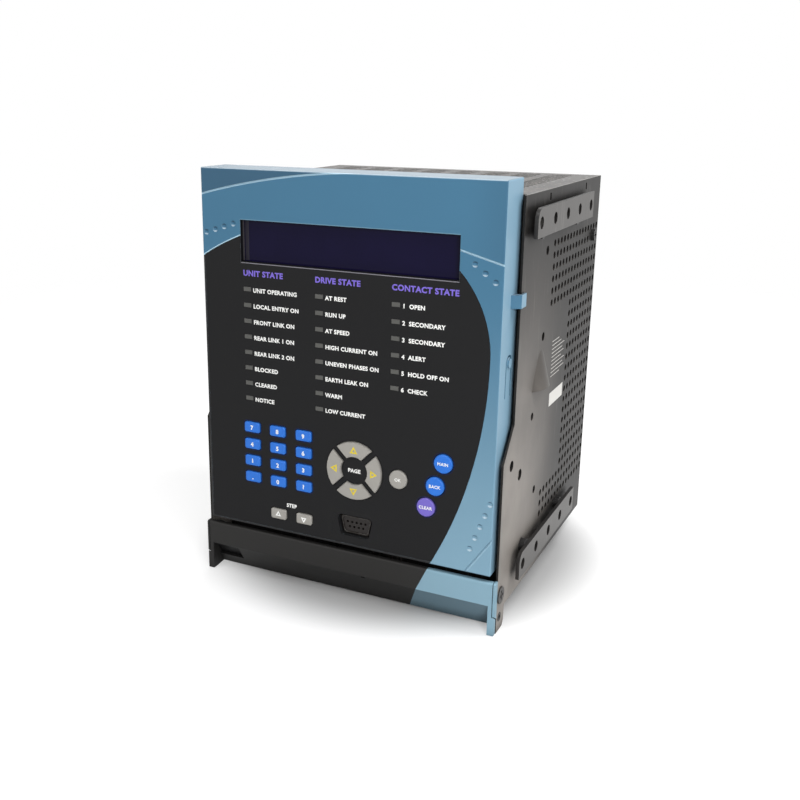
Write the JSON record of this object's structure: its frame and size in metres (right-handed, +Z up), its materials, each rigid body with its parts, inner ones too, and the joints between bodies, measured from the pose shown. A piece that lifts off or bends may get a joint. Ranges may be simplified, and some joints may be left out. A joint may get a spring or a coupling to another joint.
{
  "type": "protection relay draw-out unit",
  "caption": "Draw-out unit of a protection relay: blue bezel with display, status lights, keypad and serial port on a perforated black chassis with slide rails and a swinging handle.",
  "frame": {"origin": "middle of the bounding box's underside, level with the lugs' feet", "axes": "+Z up along the bezel's height, +Y from the bezel's face to the rear, +X to the right of the face"},
  "size_m": [0.1932, 0.1846, 0.2407],
  "materials": {
    "bezel_blue": "moulded blue plastic, satin",
    "handle_blue": "moulded blue plastic, satin",
    "overlay_black": "printed black film, satin",
    "display_pane": "dark violet pane",
    "inner_black": "black moulding",
    "board_green": "green circuit board",
    "light_grey": "grey unlit light pipe",
    "key_blue": "blue moulded key",
    "key_grey": "grey moulded key",
    "key_violet": "violet moulded key",
    "chassis_black": "satin black coated sheet steel",
    "black_screw": "blackened steel",
    "bright_steel": "zinc plated steel",
    "core_iron": "laminated core with taped winding",
    "contact_brass": "brass blades"
  },
  "bodies": {
    "chassis": {"front_bezel": "bezel_blue", "faceplate_overlay": "overlay_black", "display_window": "display_pane", "display_module": "inner_black", "display_board": "board_green", "status_strip_left": "light_grey", "status_strip_middle": "light_grey", "status_strip_right": "light_grey", "front_board": "board_green", "port_shell": "bright_steel", "port_insert": "inner_black", "front_plate": "chassis_black", "left_side_plate": "chassis_black", "right_side_plate": "chassis_black", "top_cover": "chassis_black", "bottom_plate": "chassis_black", "rear_panel": "chassis_black", "upper_left_rail": "chassis_black", "upper_right_rail": "chassis_black", "lower_left_rail": "chassis_black", "lower_right_rail": "chassis_black", "rail_spacers": "chassis_black", "chassis_screws": "black_screw", "bezel_screws": "bright_steel", "handle_corner_caps": "handle_blue", "pivot_screws": "bright_steel", "guide_pins": "bright_steel", "main_board": "board_green", "supply_board": "board_green", "input_transformers": "core_iron", "output_relays": "inner_black", "rear_plug_blocks": "inner_black", "rear_blades": "contact_brass"},
    "key_0": {"key_0": "key_blue"},
    "key_1": {"key_1": "key_blue"},
    "key_2": {"key_2": "key_blue"},
    "key_3": {"key_3": "key_blue"},
    "key_4": {"key_4": "key_blue"},
    "key_5": {"key_5": "key_blue"},
    "key_6": {"key_6": "key_blue"},
    "key_7": {"key_7": "key_blue"},
    "key_8": {"key_8": "key_blue"},
    "key_9": {"key_9": "key_blue"},
    "key_point": {"key_point": "key_blue"},
    "key_help": {"key_help": "key_blue"},
    "value_up_key": {"value_up_key": "key_grey"},
    "value_down_key": {"value_down_key": "key_grey"},
    "ring_up_key": {"ring_up_key": "key_grey"},
    "ring_left_key": {"ring_left_key": "key_grey"},
    "ring_down_key": {"ring_down_key": "key_grey"},
    "ring_right_key": {"ring_right_key": "key_grey"},
    "enter_key": {"enter_key": "key_grey"},
    "menu_key": {"menu_key": "key_blue"},
    "escape_key": {"escape_key": "key_blue"},
    "reset_key": {"reset_key": "key_violet"},
    "handle": {"handle": "handle_blue", "latch_spring": "bright_steel"},
    "latch": {"latch": "bright_steel"}
  },
  "joints": [
    {"name": "key_0_press", "type": "slide", "parent": "chassis", "child": "key_0", "axis": [0, 1, 0], "range_m": [0, 0.0008], "stiffness_N_per_m": 1000, "springref_m": -0.0005},
    {"name": "key_1_press", "type": "slide", "parent": "chassis", "child": "key_1", "axis": [0, 1, 0], "range_m": [0, 0.0008], "stiffness_N_per_m": 1000, "springref_m": -0.0005},
    {"name": "key_2_press", "type": "slide", "parent": "chassis", "child": "key_2", "axis": [0, 1, 0], "range_m": [0, 0.0008], "stiffness_N_per_m": 1000, "springref_m": -0.0005},
    {"name": "key_3_press", "type": "slide", "parent": "chassis", "child": "key_3", "axis": [0, 1, 0], "range_m": [0, 0.0008], "stiffness_N_per_m": 1000, "springref_m": -0.0005},
    {"name": "key_4_press", "type": "slide", "parent": "chassis", "child": "key_4", "axis": [0, 1, 0], "range_m": [0, 0.0008], "stiffness_N_per_m": 1000, "springref_m": -0.0005},
    {"name": "key_5_press", "type": "slide", "parent": "chassis", "child": "key_5", "axis": [0, 1, 0], "range_m": [0, 0.0008], "stiffness_N_per_m": 1000, "springref_m": -0.0005},
    {"name": "key_6_press", "type": "slide", "parent": "chassis", "child": "key_6", "axis": [0, 1, 0], "range_m": [0, 0.0008], "stiffness_N_per_m": 1000, "springref_m": -0.0005},
    {"name": "key_7_press", "type": "slide", "parent": "chassis", "child": "key_7", "axis": [0, 1, 0], "range_m": [0, 0.0008], "stiffness_N_per_m": 1000, "springref_m": -0.0005},
    {"name": "key_8_press", "type": "slide", "parent": "chassis", "child": "key_8", "axis": [0, 1, 0], "range_m": [0, 0.0008], "stiffness_N_per_m": 1000, "springref_m": -0.0005},
    {"name": "key_9_press", "type": "slide", "parent": "chassis", "child": "key_9", "axis": [0, 1, 0], "range_m": [0, 0.0008], "stiffness_N_per_m": 1000, "springref_m": -0.0005},
    {"name": "key_point_press", "type": "slide", "parent": "chassis", "child": "key_point", "axis": [0, 1, 0], "range_m": [0, 0.0008], "stiffness_N_per_m": 1000, "springref_m": -0.0005},
    {"name": "key_help_press", "type": "slide", "parent": "chassis", "child": "key_help", "axis": [0, 1, 0], "range_m": [0, 0.0008], "stiffness_N_per_m": 1000, "springref_m": -0.0005},
    {"name": "value_up_key_press", "type": "slide", "parent": "chassis", "child": "value_up_key", "axis": [0, 1, 0], "range_m": [0, 0.0008], "stiffness_N_per_m": 1000, "springref_m": -0.0005},
    {"name": "value_down_key_press", "type": "slide", "parent": "chassis", "child": "value_down_key", "axis": [0, 1, 0], "range_m": [0, 0.0008], "stiffness_N_per_m": 1000, "springref_m": -0.0005},
    {"name": "ring_up_key_press", "type": "slide", "parent": "chassis", "child": "ring_up_key", "axis": [0, 1, 0], "range_m": [0, 0.0008], "stiffness_N_per_m": 1000, "springref_m": -0.0005},
    {"name": "ring_left_key_press", "type": "slide", "parent": "chassis", "child": "ring_left_key", "axis": [0, 1, 0], "range_m": [0, 0.0008], "stiffness_N_per_m": 1000, "springref_m": -0.0005},
    {"name": "ring_down_key_press", "type": "slide", "parent": "chassis", "child": "ring_down_key", "axis": [0, 1, 0], "range_m": [0, 0.0008], "stiffness_N_per_m": 1000, "springref_m": -0.0005},
    {"name": "ring_right_key_press", "type": "slide", "parent": "chassis", "child": "ring_right_key", "axis": [0, 1, 0], "range_m": [0, 0.0008], "stiffness_N_per_m": 1000, "springref_m": -0.0005},
    {"name": "enter_key_press", "type": "slide", "parent": "chassis", "child": "enter_key", "axis": [0, 1, 0], "range_m": [0, 0.0008], "stiffness_N_per_m": 1000, "springref_m": -0.0005},
    {"name": "menu_key_press", "type": "slide", "parent": "chassis", "child": "menu_key", "axis": [0, 1, 0], "range_m": [0, 0.0008], "stiffness_N_per_m": 1000, "springref_m": -0.0005},
    {"name": "escape_key_press", "type": "slide", "parent": "chassis", "child": "escape_key", "axis": [0, 1, 0], "range_m": [0, 0.0008], "stiffness_N_per_m": 1000, "springref_m": -0.0005},
    {"name": "reset_key_press", "type": "slide", "parent": "chassis", "child": "reset_key", "axis": [0, 1, 0], "range_m": [0, 0.0008], "stiffness_N_per_m": 1000, "springref_m": -0.0005},
    {"name": "handle_swing", "type": "hinge", "parent": "chassis", "child": "handle", "pos_m": [0, -0.083, 0.021], "axis": [-1, 0, 0], "range_deg": [0, 90]},
    {"name": "latch_slide", "type": "slide", "parent": "handle", "child": "latch", "axis": [0, 0, 1], "range_m": [0, 0.004], "stiffness_N_per_m": 300, "springref_m": -0.003, "deforming": ["latch_spring"]}
  ]
}
